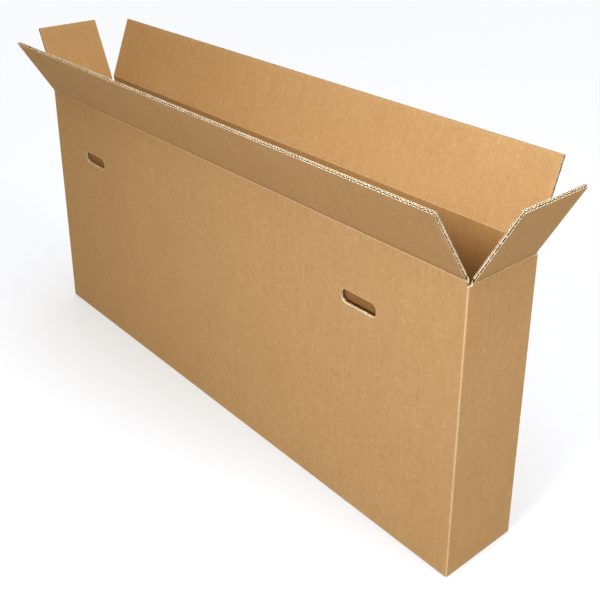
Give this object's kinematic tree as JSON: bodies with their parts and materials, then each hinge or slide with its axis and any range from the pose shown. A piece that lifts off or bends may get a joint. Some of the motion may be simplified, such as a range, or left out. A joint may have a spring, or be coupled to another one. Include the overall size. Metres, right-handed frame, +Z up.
{
  "type": "open corrugated cardboard box",
  "caption": "Long, tall and narrow corrugated cardboard carton standing open, with hinged top flaps, a folded and glued base, and hand holes with push-in tabs in its large panels.",
  "frame": {"origin": "centre of the closed base, on the surface the carton stands on", "axes": "+X along the length of the carton to the right end, +Y from the front panel to the back panel, +Z up"},
  "size_m": [1.5583, 0.3255, 0.7644],
  "materials": {
    "kraft_board": "matt brown kraft liner on double-wall corrugated board"
  },
  "bodies": {
    "carton": {"carton": "kraft_board"},
    "front_flap": {"front_flap": "kraft_board"},
    "back_flap": {"back_flap": "kraft_board"},
    "left_flap": {"left_flap": "kraft_board"},
    "right_flap": {"right_flap": "kraft_board"}
  },
  "joints": [
    {"name": "front_crease", "type": "hinge", "parent": "carton", "child": "front_flap", "pos_m": [0, -0.0915, 0.607], "axis": [-1, 0, 0], "range_deg": [-133, 122]},
    {"name": "back_crease", "type": "hinge", "parent": "carton", "child": "back_flap", "pos_m": [0, 0.0915, 0.614], "axis": [1, 0, 0], "range_deg": [-144.6, 110.4]},
    {"name": "left_crease", "type": "hinge", "parent": "carton", "child": "left_flap", "pos_m": [-0.7, 0, 0.6], "axis": [0, 1, 0], "range_deg": [-139.2, 115.8]},
    {"name": "right_crease", "type": "hinge", "parent": "carton", "child": "right_flap", "pos_m": [0.7, 0, 0.6], "axis": [0, -1, 0], "range_deg": [-136, 119]}
  ]
}
